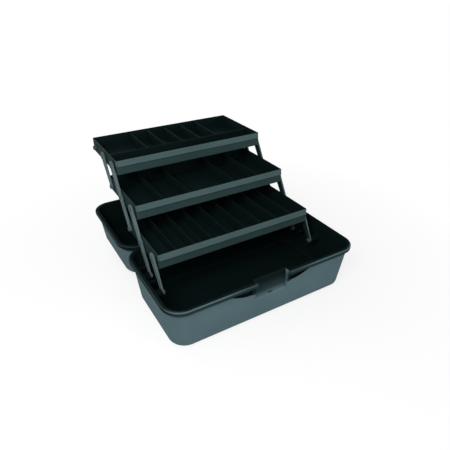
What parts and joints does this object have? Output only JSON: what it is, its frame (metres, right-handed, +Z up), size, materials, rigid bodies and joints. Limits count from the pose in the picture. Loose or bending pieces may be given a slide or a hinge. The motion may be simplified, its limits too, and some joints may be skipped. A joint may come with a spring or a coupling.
{
  "type": "art supply box",
  "caption": "Moulded plastic art supply box, open: deep base, hinged lid laid back, and cantilever trays with dividers that swing up and back on pivoting arms.",
  "frame": {"origin": "middle of the base's underside, on the table", "axes": "+Z up, +Y to the back where the lid opens, +X to the right"},
  "size_m": [0.45, 0.5155, 0.2646],
  "materials": {
    "slate_plastic": "fine moulded grain, slate grey",
    "tray_plastic": "fine moulded grain, dark charcoal",
    "steel": "plain bright pins",
    "peg_plastic": "smooth dark moulded pegs"
  },
  "bodies": {
    "base": {"base_shell": "slate_plastic", "hinge_pins": "steel", "base_pivot_pins": "peg_plastic"},
    "lid": {"lid_shell": "slate_plastic", "latch_pin": "steel", "handle_pins": "steel"},
    "latch": {"latch": "slate_plastic"},
    "handle": {"handle": "slate_plastic"},
    "arms_long_lower": {"long_arm_lower_left": "slate_plastic", "long_arm_lower_right": "slate_plastic"},
    "arms_long_upper": {"long_arm_upper_left": "slate_plastic", "long_arm_upper_right": "slate_plastic"},
    "arms_short_front": {"short_arm_front_left": "slate_plastic", "short_arm_front_right": "slate_plastic"},
    "arms_short_rear": {"short_arm_rear_left": "slate_plastic", "short_arm_rear_right": "slate_plastic"},
    "tray_bottom": {"tray_bottom_shell": "tray_plastic", "tray_bottom_pivot_pins": "peg_plastic", "tray_bottom_divider_1": "tray_plastic", "tray_bottom_divider_2": "tray_plastic", "tray_bottom_divider_3": "tray_plastic", "tray_bottom_divider_4": "tray_plastic", "tray_bottom_divider_5": "tray_plastic", "tray_bottom_divider_6": "tray_plastic", "tray_bottom_divider_7": "tray_plastic", "tray_bottom_divider_8": "tray_plastic"},
    "tray_middle": {"tray_middle_shell": "tray_plastic", "tray_middle_pivot_pins": "peg_plastic", "tray_middle_divider_1": "tray_plastic", "tray_middle_divider_2": "tray_plastic", "tray_middle_divider_3": "tray_plastic", "tray_middle_divider_4": "tray_plastic"},
    "tray_top": {"tray_top_shell": "tray_plastic", "tray_top_pivot_pins": "peg_plastic", "tray_top_divider_1": "tray_plastic", "tray_top_divider_2": "tray_plastic", "tray_top_divider_3": "tray_plastic", "tray_top_divider_4": "tray_plastic", "tray_top_divider_5": "tray_plastic", "tray_top_long_divider": "tray_plastic"}
  },
  "joints": [
    {"name": "lid_hinge", "type": "hinge", "parent": "base", "child": "lid", "pos_m": [0, 0.1206, 0.1036], "axis": [1, 0, 0], "range_deg": [0, 16]},
    {"name": "latch_swing", "type": "hinge", "parent": "lid", "child": "latch", "pos_m": [0, 0.3578, 0.0993], "axis": [1, 0, 0], "range_deg": [0, 180]},
    {"name": "handle_swing", "type": "hinge", "parent": "lid", "child": "handle", "pos_m": [0, 0.2232, 0.0062], "axis": [-1, 0, 0], "range_deg": [0, 90]},
    {"name": "tray_fold", "type": "hinge", "parent": "base", "child": "arms_long_lower", "pos_m": [0, 0.06146, 0.0654], "axis": [1, 0, 0], "range_deg": [0, 94]},
    {"name": "middle_tray_level", "type": "hinge", "parent": "arms_long_lower", "child": "tray_middle", "pos_m": [0, 0.14034, 0.1872], "axis": [1, 0, 0], "range_deg": [-94, 0]},
    {"name": "rear_arm_swing", "type": "hinge", "parent": "tray_middle", "child": "arms_short_rear", "pos_m": [0, 0.26746, 0.1872], "axis": [1, 0, 0], "range_deg": [0, 94]},
    {"name": "top_tray_level", "type": "hinge", "parent": "arms_short_rear", "child": "tray_top", "pos_m": [0, 0.3069, 0.2481], "axis": [1, 0, 0], "range_deg": [-94, 0]},
    {"name": "front_arm_swing", "type": "hinge", "parent": "base", "child": "arms_short_front", "pos_m": [0, -0.0021, 0.0654], "axis": [1, 0, 0], "range_deg": [0, 94]},
    {"name": "bottom_tray_level", "type": "hinge", "parent": "arms_short_front", "child": "tray_bottom", "pos_m": [0, 0.03734, 0.1263], "axis": [1, 0, 0], "range_deg": [-94, 0]},
    {"name": "upper_arm_swing", "type": "hinge", "parent": "tray_bottom", "child": "arms_long_upper", "pos_m": [0, 0.16446, 0.1263], "axis": [1, 0, 0], "range_deg": [0, 94]}
  ],
  "couplings": [
    {"joint": "middle_tray_level", "follows": "tray_fold", "ratio": -1},
    {"joint": "rear_arm_swing", "follows": "tray_fold", "ratio": 1},
    {"joint": "top_tray_level", "follows": "tray_fold", "ratio": -1},
    {"joint": "front_arm_swing", "follows": "tray_fold", "ratio": 1},
    {"joint": "bottom_tray_level", "follows": "tray_fold", "ratio": -1},
    {"joint": "upper_arm_swing", "follows": "tray_fold", "ratio": 1}
  ]
}
